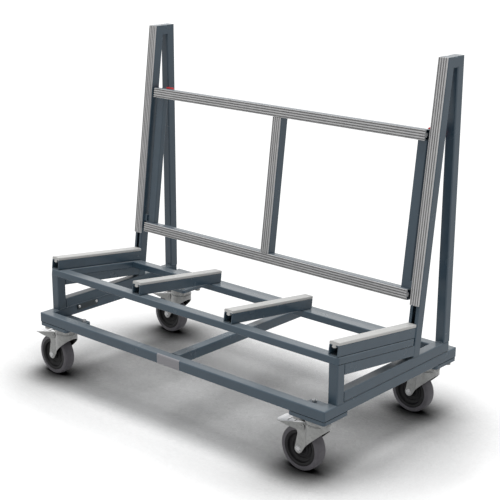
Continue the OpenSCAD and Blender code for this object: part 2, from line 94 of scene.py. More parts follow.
# The floor: its level for the camera and for every other ray, the reach of the shade in metres, the
# share of open sky that counts as unshaded, and the power that deepens the shade
FLOOR_GAIN, FLOOR_PLAIN = 1.04, 0.72
SHADE_REACH, SHADE_OPEN, SHADE_POWER = 0.42, 0.94, 4.5

# Between these shares of its 0 to 1 a noise has most of its values
NOISE_LOW, NOISE_HIGH = 0.3, 0.7


def place(points):
    """Base frame in mm to the part's frame in metres: take the centre off and scale by a thousandth."""
    return (np.asarray(points, float) - CENTRE) * MM


def lean(points):
    """Leaning frame to base frame: turn U and V back by the lean about X, then step to the foot."""
    p = np.asarray(points, float)
    s, c = math.sin(LEAN), math.cos(LEAN)
    x, u, v = p[..., 0], p[..., 1], p[..., 2]
    return np.stack([x, u * c + v * s, -u * s + v * c], axis=-1) + FOOT


def srgb(hex_colour):
    """sRGB hex to linear: c / 12.92 below 0.04045, else ((c + 0.055) / 1.055) to the power 2.4."""
    c = np.array([int(hex_colour[i:i + 2], 16) for i in (1, 3, 5)]) / 255
    linear = np.where(c <= 0.04045, c / 12.92, ((c + 0.055) / 1.055) ** 2.4)
    return (*linear.tolist(), 1.0)


def grey(level):
    """A linear grey, for a mask or a factor."""
    return (level, level, level, 1.0)


def tones(dark, light):
    """The stops of a ramp that gives a noise's lows one sRGB colour and its highs another."""
    return [(NOISE_LOW, srgb(dark)), (NOISE_HIGH, srgb(light))]


def lumps(width):
    """A pattern's scale on Object coordinates: how many lumps of this width in mm fit in a metre."""
    return 1.0 / (width * MM)


def add_node(tree, kind, inputs=None, stops=(), **settings):
    """Adds one node, sets its properties and its ramp's stops, then fills or links its inputs by name
    or number."""
    node = tree.nodes.new(kind)
    for key, value in settings.items():
        setattr(node, key, value)
    for i, (at, colour) in enumerate(stops):
        node.color_ramp.elements[i].position = at
        node.color_ramp.elements[i].color = colour
    for key, value in (inputs or {}).items():
        if isinstance(value, bpy.types.NodeSocket):
            tree.links.new(value, node.inputs[key])
        else:
            node.inputs[key].default_value = value
    return node


def start_material(name):
    """An empty material with its tree and its Object coordinates."""
    material = bpy.data.materials.new(name)
    material.use_nodes = True
    tree = material.node_tree
    tree.nodes.clear()
    where = add_node(tree, "ShaderNodeTexCoord").outputs["Object"]
    return material, tree, where


def end_material(tree, shader):
    """Joins the shader to the material's output."""
    add_node(tree, "ShaderNodeOutputMaterial", {"Surface": shader.outputs[0]})


def mesh_object(name, rings, material, caps=True, wrap=True, close=False, angle=30.0):
    """A surface from a grid of points in base millimetres.

    rings is (copies, along, around, 3), or without the copies: each ring of points is joined to the
    next along the grid. wrap joins the last point of a ring to its first, close joins the last ring
    to the first, and caps fills the first and the last ring with one flat face each. Faces are turned
    outward by the sign of the volume they enclose; edges sharper than the angle in degrees stay sharp.
    """
    points = np.asarray(rings, float)
    if points.ndim == 3:
        points = points[None]
    copies, along, around = points.shape[:3]
    index = np.arange(copies * along * around).reshape(copies, along, around)
    here = index if close else index[:, :-1]
    ahead = np.roll(index, -1, axis=1) if close else index[:, 1:]
    if wrap:
        quads = np.stack([here, np.roll(here, -1, axis=2), np.roll(ahead, -1, axis=2), ahead], axis=-1)
    else:
        quads = np.stack([here[..., :-1], here[..., 1:], ahead[..., 1:], ahead[..., :-1]], axis=-1)
    quads = quads.reshape(copies, -1, 4)
    flat = points.reshape(-1, 3)
    corner = flat[quads]
    across = np.cross(corner[:, :, 1] - corner[:, :, 0], corner[:, :, 3] - corner[:, :, 0])
    from_middle = corner.mean(axis=2) - flat.reshape(copies, -1, 3).mean(axis=1)[:, None]
    volume = np.einsum("cqi,cqi->c", across, from_middle)
    faces = []
    for copy in range(copies):
        turned = volume[copy] < 0
        own = quads[copy][:, ::-1] if turned else quads[copy]
        faces += own.tolist()
        if caps and not close:
            first, last = index[copy, 0][::-1], index[copy, -1]
            faces += [cap[::-1].tolist() if turned else cap.tolist() for cap in (first, last)]
    mesh = bpy.data.meshes.new(name)
    mesh.from_pydata(place(flat).tolist(), [], faces)
    mesh.materials.append(material)
    mesh.polygons.foreach_set("use_smooth", np.ones(len(faces), bool))
    mesh.set_sharp_from_angle(angle=math.radians(angle))
    mesh.update()
    piece = bpy.data.objects.new(name, mesh)
    bpy.context.scene.collection.objects.link(piece)
    return piece


def lathe(profile, steps):
    """Turns a profile of (radius, height) points round: x = r cos t, y = r sin t, z = height."""
    profile = np.asarray(profile, float)
    turn = np.linspace(0, 2 * math.pi, steps, endpoint=False)
    r, h = profile[:, :1], profile[:, 1:]
    return np.stack([r * np.cos(turn), r * np.sin(turn), h + 0 * turn], axis=-1)


def to_axle(points):
    """Lays a lathe's axis along Y through the axle, in the caster's own frame."""
    p = np.asarray(points, float)
    return np.stack([p[..., 0] - TRAIL, p[..., 2], p[..., 1] + AXLE_Z], axis=-1)


def to_corner(points, corner):
    """Steps a caster's own frame to its corner of the base."""
    return np.asarray(points, float) + np.array([*CORNERS[corner], 0.0])


def inward(corner):
    """The signs of X and Y that lead from a corner to the middle of the base."""
    return (1 if "left" in corner else -1), (1 if "front" in corner else -1)


def mirrored(half):
    """A profile for the +height side, from the inner radius out, closed with its mirror below."""
    half = np.asarray(half, float)
    return np.concatenate([half, half[::-1] * [1, -1]])


def arc(centre, radius, start, end, steps):
    """Points on an arc in profile coordinates, angles in degrees."""
    t = np.radians(np.linspace(start, end, steps))
    return np.stack([centre[0] + radius * np.cos(t), centre[1] + radius * np.sin(t)], axis=-1)


def rounded_outline(width, height, radius, steps=5):
    """A rectangle centred on the origin with four quarter-circle corners, counter-clockwise."""
    w, h = width / 2 - radius, height / 2 - radius
    return np.concatenate([arc((sx * w, sy * h), radius, a, a + 90, steps)
                           for sx, sy, a in ((1, 1, 0), (-1, 1, 90), (-1, -1, 180), (1, -1, 270))])


def strip_back(edge):
    """The back of a strip in its slot: down the right edge's points, a stem 10 mm wide with a bead
    13.8 mm wide at its end, 8.6 mm down, and up the mirrored left edge."""
    right = np.array([*edge, (5.0, 0.0), (5.0, -4.0), (6.9, -4.6), (5.2, -7.0)])
    return np.concatenate([right, [(0.0, -8.6)], right[::-1] * [-1, 1]])


def ridged_outline():
    """Section of the grooved strip, 28 mm wide and 5 mm proud, with a groove at each middle of its four
    7 mm pitches: depth = 2.6 clip(1.35 (1 - (p / 0.27)^2), 0, 1)^0.8, where p is the distance from the
    groove's middle as a share of the pitch, so the ribs between stay flat."""
    half, proud, ease, pitch = 14.0, 5.0, 0.4, 7.0
    deep, half_groove_share, steepness, roundness = 2.6, 0.27, 1.35, 0.8
    x = np.linspace(ease - half, half - ease, 137)
    p = np.abs(((x + half) / pitch) % 1.0 - 0.5)
    depth = deep * np.clip(steepness * (1 - (p / half_groove_share) ** 2), 0, 1) ** roundness
    face = np.stack([x, proud - depth], axis=-1)
    return np.concatenate([face, strip_back([(half, proud - ease), (half, ease), (half - ease, 0.0)])])


def slide_outline():
    """Section of the bed's smooth strip, 30 mm wide and 8 mm proud: a top crowned by 0.25 mm,
    y = 8 - 0.25 (x / 13)^2, and edges rounded by 2 mm."""
    half, proud, crown, round_off, ease = 15.0, 8.0, 0.25, 2.0, 0.5
    flat = half - round_off
    x = np.linspace(-flat, flat, 21)
    top = np.stack([x, proud - crown * (x / flat) ** 2], axis=-1)
    middle = proud - crown - round_off
    right = arc((flat, middle), round_off, 90, 0, 6)[1:]
    left = arc((-flat, middle), round_off, 180, 90, 6)[:-1]
    return np.concatenate([top, right, strip_back([(half, ease), (half - ease, 0.0)]), left])


def powder_coat():
    """Polyester powder coat on welded steel, blue-grey, satin: an even colour with a fine orange peel
    (lumps 1.2 mm across) that breaks up its highlights, a faint drift of gloss over 60 mm, and a thin
    film of pale workshop dust on the faces that look up."""
    material, tree, where = start_material("powder_coat_blue_grey")
    drift = add_node(tree, "ShaderNodeTexNoise", {"Vector": where, "Scale": lumps(62.5), "Detail": 3.0})
    peel = add_node(tree, "ShaderNodeTexNoise", {"Vector": where, "Scale": lumps(1.205), "Detail": 2.0})
    clean = add_node(tree, "ShaderNodeValToRGB", {"Fac": drift.outputs["Fac"]}, tones("#3B4E5C", "#405361"))
    normal = add_node(tree, "ShaderNodeTexCoord").outputs["Normal"]
    facing = add_node(tree, "ShaderNodeSeparateXYZ", {"Vector": normal})
    dust = add_node(tree, "ShaderNodeMapRange", {
        "Value": facing.outputs["Z"], "From Min": 0.6, "From Max": 0.95, "To Max": 0.3})
    colour = add_node(tree, "ShaderNodeMix", {
        0: dust.outputs["Result"], 6: clean.outputs["Color"], 7: srgb("#A5A9AB")}, data_type="RGBA")
    gloss = add_node(tree, "ShaderNodeMapRange", {
        "Value": drift.outputs["Fac"], "To Min": 0.22, "To Max": 0.3})
    bump = add_node(tree, "ShaderNodeBump", {
        "Height": peel.outputs["Fac"], "Strength": 0.12, "Distance": 0.08 * MM})
    shader = add_node(tree, "ShaderNodeBsdfPrincipled", {
        "Base Color": colour.outputs[2], "Roughness": gloss.outputs["Result"], "IOR": 1.55,
        "Normal": bump.outputs["Normal"]})
    end_material(tree, shader)
    return material


def extruded_pvc():
    """Extruded soft PVC, light grey, matt: a fine grain and a slight chalky drift, with dirt held in the
    grooves, so the colour falls to a fifth where a rib stands within 4 mm."""
    material, tree, where = start_material("extruded_pvc_grey")
    drift = add_node(tree, "ShaderNodeTexNoise", {"Vector": where, "Scale": lumps(25.0), "Detail": 4.0})
    grain = add_node(tree, "ShaderNodeTexNoise", {"Vector": where, "Scale": lumps(0.7143), "Detail": 1.0})
    clean = add_node(tree, "ShaderNodeValToRGB", {"Fac": drift.outputs["Fac"]}, tones("#CECECF", "#D8D8D8"))
    near = add_node(tree, "ShaderNodeAmbientOcclusion", {"Distance": 4.0 * MM}, samples=8)
    bare = add_node(tree, "ShaderNodeValToRGB", {"Fac": near.outputs["AO"]},
                    [(0.4, grey(0.2)), (0.85, grey(1.0))])
    colour = add_node(tree, "ShaderNodeMix", {
        0: bare.outputs["Color"], 6: grey(0.0), 7: clean.outputs["Color"]}, data_type="RGBA")
    bump = add_node(tree, "ShaderNodeBump", {
        "Height": grain.outputs["Fac"], "Strength": 0.15, "Distance": 0.05 * MM})
    shader = add_node(tree, "ShaderNodeBsdfPrincipled", {
        "Base Color": colour.outputs[2], "Roughness": 0.55, "IOR": 1.52, "Normal": bump.outputs["Normal"]})
    end_material(tree, shader)
    return material


def extruded_hdpe():
    """Extruded HDPE, off-white and waxy, with the fine scuffs that sheets leave across it: 1.1 mm wide
    and 33 mm long, along X."""
    material, tree, where = start_material("extruded_hdpe_white")
    stretched = add_node(tree, "ShaderNodeMapping", {
        "Vector": where, "Scale": (lumps(33.33), lumps(1.111), lumps(1.111))})
    scuff = add_node(tree, "ShaderNodeTexNoise", {
        "Vector": stretched.outputs["Vector"], "Scale": 1.0, "Detail": 3.0})
    colour = add_node(tree, "ShaderNodeValToRGB", {"Fac": scuff.outputs["Fac"]},
                      [(0.35, srgb("#C2C2C0")), (0.6, srgb("#CACAC8"))])
    bump = add_node(tree, "ShaderNodeBump", {
        "Height": scuff.outputs["Fac"], "Strength": 0.1, "Distance": 0.05 * MM})
    shader = add_node(tree, "ShaderNodeBsdfPrincipled", {
        "Base Color": colour.outputs["Color"], "Roughness": 0.42, "IOR": 1.54,
        "Normal": bump.outputs["Normal"]})
    end_material(tree, shader)
    return material


def zinc_plate(name, greasy):
    """Bright zinc plate on pressed steel under a clear passivate: greyish and scattering face on, shining
    at a low angle, with small spangles of uneven gloss, and, where greasy is set, black with grease and
    dirt deep inside the fork."""
    material, tree, where = start_material(name)
    spangle = add_node(tree, "ShaderNodeTexVoronoi", {"Vector": where, "Scale": lumps(3.846)})
    cloud = add_node(tree, "ShaderNodeTexNoise", {"Vector": where, "Scale": lumps(11.11), "Detail": 4.0})
    uneven = add_node(tree, "ShaderNodeMath", {
        0: spangle.outputs["Distance"], 1: cloud.outputs["Fac"]}, operation="MULTIPLY")
    gloss = add_node(tree, "ShaderNodeMapRange", {
        "Value": uneven.outputs[0], "From Max": 0.4, "To Min": 0.24, "To Max": 0.36})
    clean = add_node(tree, "ShaderNodeValToRGB", {"Fac": cloud.outputs["Fac"]}, tones("#8C8D8C", "#A0A19F"))
    values = {"Base Color": clean.outputs["Color"], "Metallic": 0.3, "Roughness": gloss.outputs["Result"],
              "Coat Weight": 1.0, "Coat Roughness": 0.3}
    if greasy:
        near = add_node(tree, "ShaderNodeAmbientOcclusion", {"Distance": 60.0 * MM}, samples=8)
        bare = add_node(tree, "ShaderNodeValToRGB", {"Fac": near.outputs["AO"]},
                        [(0.36, grey(0.03)), (0.62, grey(1.0))]).outputs["Color"]
        colour = add_node(tree, "ShaderNodeMix", {0: bare, 6: grey(0.0), 7: clean.outputs["Color"]},
                          data_type="RGBA")
        shine = add_node(tree, "ShaderNodeMath", {0: bare, 1: 0.5}, operation="MULTIPLY")
        values["Base Color"] = colour.outputs[2]
        values["Coat Weight"] = bare
        values["Specular IOR Level"] = shine.outputs[0]
    end_material(tree, add_node(tree, "ShaderNodeBsdfPrincipled", values))
    return material


def zinc_fasteners():
    """Zinc-plated bolts, nuts and screws: brighter and smoother than pressed sheet, with fine turning
    marks."""
    material, tree, where = start_material("zinc_plated_fasteners")
    cloud = add_node(tree, "ShaderNodeTexNoise", {"Vector": where, "Scale": lumps(2.381), "Detail": 3.0})
    colour = add_node(tree, "ShaderNodeValToRGB", {"Fac": cloud.outputs["Fac"]}, tones("#B6B7B8", "#CACBCC"))
    gloss = add_node(tree, "ShaderNodeMapRange", {
        "Value": cloud.outputs["Fac"], "To Min": 0.22, "To Max": 0.34})
    shader = add_node(tree, "ShaderNodeBsdfPrincipled", {
        "Base Color": colour.outputs["Color"], "Metallic": 0.6, "Roughness": gloss.outputs["Result"],
        "Coat Weight": 0.6})
    end_material(tree, shader)
    return material


def rubbed_zinc():
    """Zinc plate of the brake pedals and the crowns' rims: greyish and scattering on its walls, rubbed
    nearly white where it faces up, by the normal's height."""
    material, tree, where = start_material("zinc_plated_pedal")
    normal = add_node(tree, "ShaderNodeTexCoord").outputs["Normal"]
    facing = add_node(tree, "ShaderNodeSeparateXYZ", {"Vector": normal})
    rubbed = add_node(tree, "ShaderNodeMapRange", {
        "Value": facing.outputs["Z"], "From Min": 0.45, "From Max": 0.85})
    cloud = add_node(tree, "ShaderNodeTexNoise", {"Vector": where, "Scale": lumps(6.25), "Detail": 4.0})
    dull = add_node(tree, "ShaderNodeValToRGB", {"Fac": cloud.outputs["Fac"]}, tones("#8E8F8E", "#A0A19F"))
    colour = add_node(tree, "ShaderNodeMix", {
        0: rubbed.outputs["Result"], 6: dull.outputs["Color"], 7: srgb("#FAFAFB")}, data_type="RGBA")
    gloss = add_node(tree, "ShaderNodeMapRange", {
        "Value": cloud.outputs["Fac"], "To Min": 0.24, "To Max": 0.36})
    shader = add_node(tree, "ShaderNodeBsdfPrincipled", {
        "Base Color": colour.outputs[2], "Metallic": 0.3, "Roughness": gloss.outputs["Result"],
        "Coat Weight": rubbed.outputs["Result"]})
    end_material(tree, shader)
    return material


def moulded_nylon():
    """Injection moulded nylon, near black, with a fine spark-eroded grain."""
    material, tree, where = start_material("moulded_nylon_black")
    grain = add_node(tree, "ShaderNodeTexNoise", {"Vector": where, "Scale": lumps(0.625), "Detail": 2.0})
    colour = add_node(tree, "ShaderNodeValToRGB", {"Fac": grain.outputs["Fac"]}, tones("#121213", "#18181A"))
    bump = add_node(tree, "ShaderNodeBump", {
        "Height": grain.outputs["Fac"], "Strength": 0.2, "Distance": 0.04 * MM})
    shader = add_node(tree, "ShaderNodeBsdfPrincipled", {
        "Base Color": colour.outputs["Color"], "Roughness": 0.5, "IOR": 1.53, "Specular IOR Level": 0.25,
        "Normal": bump.outputs["Normal"]})
    end_material(tree, shader)
    return material


def tread_rubber():
    """Grey thermoplastic rubber, non-marking, matt, with a faint bloom."""
    material, tree, where = start_material("thermoplastic_rubber_grey")
    bloom = add_node(tree, "ShaderNodeTexNoise", {"Vector": where, "Scale": lumps(14.29), "Detail": 5.0})
    grain = add_node(tree, "ShaderNodeTexNoise", {"Vector": where, "Scale": lumps(0.8333), "Detail": 2.0})
    colour = add_node(tree, "ShaderNodeValToRGB", {"Fac": bloom.outputs["Fac"]}, tones("#565459", "#615F64"))
    bump = add_node(tree, "ShaderNodeBump", {
        "Height": grain.outputs["Fac"], "Strength": 0.25, "Distance": 0.06 * MM})
    shader = add_node(tree, "ShaderNodeBsdfPrincipled", {
        "Base Color": colour.outputs["Color"], "Roughness": 0.6, "IOR": 1.5,
        "Normal": bump.outputs["Normal"]})
    end_material(tree, shader)
    return material


def moulded_phenolic():
    """Compression moulded phenolic, signal red, glossy with slight flow lines."""
    material, tree, where = start_material("moulded_phenolic_red")
    flow = add_node(tree, "ShaderNodeTexNoise", {"Vector": where, "Scale": lumps(8.333), "Detail": 3.0})
    colour = add_node(tree, "ShaderNodeValToRGB", {"Fac": flow.outputs["Fac"]}, tones("#B41A22", "#C4222A"))
    shader = add_node(tree, "ShaderNodeBsdfPrincipled", {
        "Base Color": colour.outputs["Color"], "Roughness": 0.35, "IOR": 1.5, "Specular IOR Level": 0.3})
    end_material(tree, shader)
    return material


def polyester_film():
    """Matt silver-grey polyester film of the bare plate, slightly mottled by its adhesive."""
    material, tree, where = start_material("polyester_film_grey")
    mottle = add_node(tree, "ShaderNodeTexNoise", {"Vector": where, "Scale": lumps(3.333), "Detail": 4.0})
    colour = add_node(tree, "ShaderNodeValToRGB", {"Fac": mottle.outputs["Fac"]}, tones("#8C8B90", "#98979B"))
    shader = add_node(tree, "ShaderNodeBsdfPrincipled", {
        "Base Color": colour.outputs["Color"], "Roughness": 0.5, "IOR": 1.5})
    end_material(tree, shader)
    return material


def epdm_rubber():
    """EPDM rubber of the strap, dark slate, matt and faintly greyed on its raised grain."""
    material, tree, where = start_material("epdm_rubber_black")
    grain = add_node(tree, "ShaderNodeTexNoise", {"Vector": where, "Scale": lumps(1.111), "Detail": 3.0})
    colour = add_node(tree, "ShaderNodeValToRGB", {"Fac": grain.outputs["Fac"]}, tones("#2A3236", "#363F44"))
    bump = add_node(tree, "ShaderNodeBump", {
        "Height": grain.outputs["Fac"], "Strength": 0.25, "Distance": 0.06 * MM})
    shader = add_node(tree, "ShaderNodeBsdfPrincipled", {
        "Base Color": colour.outputs["Color"], "Roughness": 0.6, "IOR": 1.5,
        "Normal": bump.outputs["Normal"]})
    end_material(tree, shader)
    return material


paint = powder_coat()
grooved, smooth = extruded_pvc(), extruded_hdpe()
fork_zinc, sheet_zinc = zinc_plate("zinc_plated_fork", True), zinc_plate("zinc_plated_cup", False)
bolt_zinc, pedal_zinc = zinc_fasteners(), rubbed_zinc()
hub_nylon, tyre_rubber, knob_phenolic = moulded_nylon(), tread_rubber(), moulded_phenolic()
label_film, strap_rubber = polyester_film(), epdm_rubber()
FINISH = {"frame_paint": paint, "grooved_lining": grooved, "bed_lining": smooth, "zinc_steel": fork_zinc,
          "hub_black": hub_nylon, "tyre_grey": tyre_rubber, "knob_red": knob_phenolic}
for part in frame["record"]["subparts"]:
    finish = pedal_zinc if part["node"].endswith("_pedal") else FINISH[part["material_slot"]]
    nodes[part["node"]].data.materials.clear()
    nodes[part["node"]].data.materials.append(finish)


def run_upright(outline, x):
    """A strip's section carried up an upright: from a square cut at V = 142.5 to a level cut at the
    cart's top, so the last ring's V follows its own U, v = (height + u sin lean) / cos lean. The stem in
    the slot ends 2.6 mm lower, under the upright's closed top."""
    start, stem_from, stem_drop = 142.5, 0.3, 2.6
    across, back = outline[:, 0], -outline[:, 1]
    low = np.full(len(outline), start)
    high = (CART_TOP - FOOT[2] + back * math.sin(LEAN)) / math.cos(LEAN)
    high = np.where(back > stem_from, high - stem_drop, high)
    share = np.linspace(0, 1, 3)[:, None]
    v = low + share * (high - low)
    ring = np.stack([np.broadcast_to(x + across, v.shape), np.broadcast_to(back, v.shape), v], axis=-1)
    return lean(ring)


def run_along(outline, start, end, centre, sense):
    """A strip's section carried along X (sense "x") at V = centre, along V (sense "v") at X = centre, or
    along U (sense "u") at X = centre on a channel's slotted face."""
    across, out = outline[:, 0], outline[:, 1]
    way = np.linspace(start, end, 3)[:, None]
    zero = 0 * way
    if sense == "x":
        ring = np.stack([way + 0 * across, zero - out, centre + across + zero], axis=-1)
    elif sense == "v":
        ring = np.stack([centre + across + zero, zero - out, way + 0 * across], axis=-1)
    else:
        ring = np.stack([centre + across + zero, way + 0 * across, CHANNEL_V + out + zero], axis=-1)
    return lean(ring)


def make_linings():
    """The grooved strips of the uprights and the back frame and the four smooth strips of the bed."""
    ridged, slide = ridged_outline(), slide_outline()
    half = TUBE / 2
    rings = np.stack([run_upright(ridged, half), run_upright(ridged, BASE_L - half)])
    uprights = mesh_object("upright_strips", rings, grooved)
    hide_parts("upright_linings")
    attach(uprights, "cart")
    for node, rings in (
            ("bottom_rail_lining", run_along(ridged, BACK_END, BASE_L - BACK_END, BACK_LOW, "x")),
            ("top_rail_lining", run_along(ridged, BACK_END, BASE_L - BACK_END, BACK_TOP, "x")),
            ("middle_lining", run_along(ridged, BACK_LOW + half, BACK_TOP - half, BASE_L / 2, "v"))):
        piece = mesh_object(node + "_strip", rings, grooved)
        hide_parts(node)
        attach(piece, "cart")
    for i, x in enumerate(np.linspace(CHANNEL_X, BASE_L - CHANNEL_X, 4)):
        piece = mesh_object(f"slide_strip_{i + 1}", run_along(slide, -CHANNEL_L, 0.0, x, "u"), smooth)
        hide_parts(f"slide_lining_{i + 1}")
        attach(piece, "cart")


def hub_profile():
    """Half section of the moulded wheel centre: bearing cap, boss, dished disc with two rings, rim lip."""
    return mirrored([
        (5.05, 18.6), (5.4, 19.2), (9.0, 19.2), (9.4, 18.8), (9.4, 17.0), (11.6, 17.0), (13.2, 16.4),
        (14.0, 15.0), (14.4, 10.5), (15.2, 8.2), (16.8, 7.0), (19.0, 6.4), (20.8, 6.4), (21.2, 7.6),
        (22.8, 7.6), (23.2, 6.3), (28.6, 6.0), (29.0, 7.4), (30.8, 7.4), (31.2, 6.0), (34.0, 6.2),
        (37.2, 7.4), (39.2, 9.8), (40.1, 13.2), (40.8, 15.4), (41.8, 16.1), (48.0, 16.9), (49.1, 16.5),
        (49.45, 15.2), (49.45, 12.0)])


def tread_profile():
    """Section of the tread: an inner bore, flat flanks with a moulding step, round shoulders and a crown
    r = 62.5 - 0.6 (y / 10.5)^2 between the shoulders."""
    wheel_radius, crown_drop, crown_half = 62.5, 0.6, 10.5
    flank = [(49.5, 16.6), (50.0, 17.3), (51.0, 17.5), (52.6, 17.5), (53.1, 17.2), (54.8, 17.4)]
    shoulder = arc((55.9, 11.5), 6.0, 82, 8, 9)
    y = np.linspace(crown_half, 0, 6)
    crown = np.stack([wheel_radius - crown_drop * (y / crown_half) ** 2, y], axis=-1)
    return mirrored(np.concatenate([flank, shoulder, crown]))


def axle_profile():
    """Section of the axle from one end to the other: shank, pressed washer, domed cap nut."""
    half = [(5.0, 0.0), (5.0, 22.05), (9.0, 22.05), (9.0, 23.2), (8.4, 23.5), (7.4, 23.5), (7.2, 24.4),
            (6.6, 25.4), (5.4, 26.3), (3.6, 26.9), (1.4, 27.0)]
    return np.array([(r, -h) for r, h in half[::-1]] + half[1:])


def make_wheels():
    """Each caster's wheel centre, tread and axle, turned round the axle."""
    for corner in CORNERS:
        for name, node, body, profile, material, steps, close in (
                ("hub", "hub", "wheel", hub_profile(), hub_nylon, 72, True),
                ("tread", "tyre", "wheel", tread_profile(), tyre_rubber, 96, True),
                ("axle_bolt", "axle", "swivel_fork", axle_profile(), bolt_zinc, 72, False)):
            rings = to_corner(to_axle(lathe(profile, steps)), corner)
            piece = mesh_object(f"{corner}_{name}", rings, material, caps=not close, close=close)
            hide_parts(f"{corner}_{node}")
            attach(piece, f"{corner}_{body}")


def race_cup():
    """A pressed cup round the ball race: r and z of its section, with a groove at its middle."""
    return lathe([(31.2, 144.6), (33.0, 144.6), (33.0, 148.0), (33.0, 153.4), (32.6, 154.0), (32.6, 154.8),
                  (33.0, 155.4), (33.0, 161.0), (32.4, 162.3), (31.2, 162.3)], 72)


def crown_rim():
    """The rolled rim on the edge of a fork's crown: a ring 2 mm thick."""
    return lathe(arc((33.7, 143.5), 1.0, 0, 330, 12), 72)


def pedal_top(x):
    """Height of the pedal's top sheet over the floor at x behind the swivel axis, straight between its
    bends."""
    return np.interp(-x, -PEDAL_X, PEDAL_Z)


def pedal_rib(x):
    """A pressed grip rib across the tread: an arch 3.2 mm wide, 26 mm long and 0.9 mm high, its ends drawn
    down to nothing; height over the sheet = 0.9 (1 - s^2) (1 - t^4) - 0.05, so its edge is sunk in."""
    half_width, half_length, high, sunk = 1.6, 13.0, 0.9, 0.05
    s, t = np.meshgrid(np.linspace(-1, 1, 9), np.linspace(-1, 1, 17), indexing="ij")
    along = x + half_width * s
    lift = high * (1 - s ** 2) * (1 - t ** 4) - sunk
    return np.stack([along, half_length * t, pedal_top(along) + lift], axis=-1)


def pivot_rivets():
    """The domed rivet heads of the pedal's pivot, one on the outside of each of its cheeks."""
    dome = lathe([(0.8, 2.2), (2.2, 1.9), (3.6, 1.1), (4.2, 0.2), (4.2, 0.0)], 32)
    return np.stack([np.stack([dome[..., 0] + PIVOT_X, side * (dome[..., 2] + CHEEK_Y),
                               dome[..., 1] + PIVOT_Z], axis=-1) for side in (-1, 1)])


def make_casters():
    """The cups round the ball races, the rolled rims of the crowns, the pedals' grip ribs and their
    rivets."""
    rib_places = (-112.0, -105.0, -98.0)
    cups = np.stack([to_corner(race_cup(), corner) for corner in CORNERS])
    piece = mesh_object("race_cups", cups, sheet_zinc, caps=False, close=True)
    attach(piece, "cart")
    for corner in CORNERS:
        ribs = np.stack([to_corner(pedal_rib(x), corner) for x in rib_places])
        piece = mesh_object(f"{corner}_pedal_ribs", ribs, pedal_zinc, caps=False, wrap=False, angle=60.0)
        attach(piece, f"{corner}_brake_pedal")
        rim = to_corner(crown_rim(), corner)
        piece = mesh_object(f"{corner}_crown_rim", rim, pedal_zinc, caps=False, close=True)
        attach(piece, f"{corner}_swivel_fork")
        piece = mesh_object(f"{corner}_pedal_rivets", to_corner(pivot_rivets(), corner), sheet_zinc)
        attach(piece, f"{corner}_swivel_fork")


def hexagon(across_flats, height, chamfer, at):
    """A hexagon prism with a turned chamfer, r = min(flat / (2 cos(t mod 60 - 30)), rim), where the rim
    shrinks by the chamfer at both ends; rings from the underside at (x, y, z) up."""
    t = np.linspace(0, 2 * math.pi, 48, endpoint=False)
    hexa = across_flats / 2 / np.cos((t % (math.pi / 3)) - math.pi / 6)
    outer = across_flats / math.sqrt(3)
    drop = 0.45 * chamfer
    rows = [(outer - chamfer, 0.0), (outer, drop), (outer, height - drop), (outer - chamfer, height)]
    return np.stack([np.stack([at[0] + np.minimum(hexa, rim) * np.cos(t),
                               at[1] + np.minimum(hexa, rim) * np.sin(t),
                               np.full_like(t, at[2] + h)], axis=-1) for rim, h in rows])


def shank(low, high, at):
    """A plate bolt's round shank from low to a chamfered end at high, up or down, at (x, y)."""
    radius, chamfer = 4.0, 0.8
    end = high - math.copysign(chamfer, high - low)
    return lathe([(radius, low), (radius, end), (radius - chamfer, high)], 48) + [*at, 0.0]


def washer(low, high, at):
    """A flat washer from low to high, at (x, y)."""
    bore, rim = 4.2, 9.0
    return lathe([(bore, low), (rim, low), (rim, high), (bore, high)], 48) + [*at, 0.0]


def make_bolts():
    """The plate bolts: hexagons under the caster plates with the threads' tips, washers, shanks, and a
    nut on the inner one's upper end."""
    tip_low, tip_high = 152.4, 154.8
    head_flats, head_height, head_chamfer, head_low = 16.0, 7.2, 1.2, 154.5
    washer_low, washer_high = 161.7, 162.45
    shank_low, shank_high = 161.0, 175.5
    nut_flats, nut_height, nut_chamfer, nut_low = 13.0, 6.5, 1.0, 176.05
    end_low, end_high = 175.6, 184.5
    heads, tips, washers, shanks, nuts, ends = [], [], [], [], [], []
    for corner, (cx, cy) in CORNERS.items():
        for ax in (-BOLT_X, BOLT_X):
            for ay in (-BOLT_Y, BOLT_Y):
                at = (cx + ax, cy + ay)
                heads.append(hexagon(head_flats, head_height, head_chamfer, (*at, head_low)))
                tips.append(shank(tip_high, tip_low, at))
                washers.append(washer(washer_low, washer_high, at))
                shanks.append(shank(shank_low, shank_high, at))
        sx, sy = inward(corner)
        at = (cx + sx * BOLT_X, cy + sy * BOLT_Y)
        nuts.append(hexagon(nut_flats, nut_height, nut_chamfer, (*at, nut_low)))
        ends.append(shank(end_low, end_high, at))
    for name, rings, material, close in (
            ("bolt_heads", heads, sheet_zinc, False), ("bolt_washers", washers, sheet_zinc, True),
            ("bolt_tips", tips, sheet_zinc, False), ("bolt_shanks", shanks, bolt_zinc, False),
            ("bolt_nuts", nuts, bolt_zinc, False), ("bolt_ends", ends, bolt_zinc, False)):
        piece = mesh_object(name, np.stack(rings), material, caps=not close, close=close)
        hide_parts("plate_bolts")
        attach(piece, "cart")


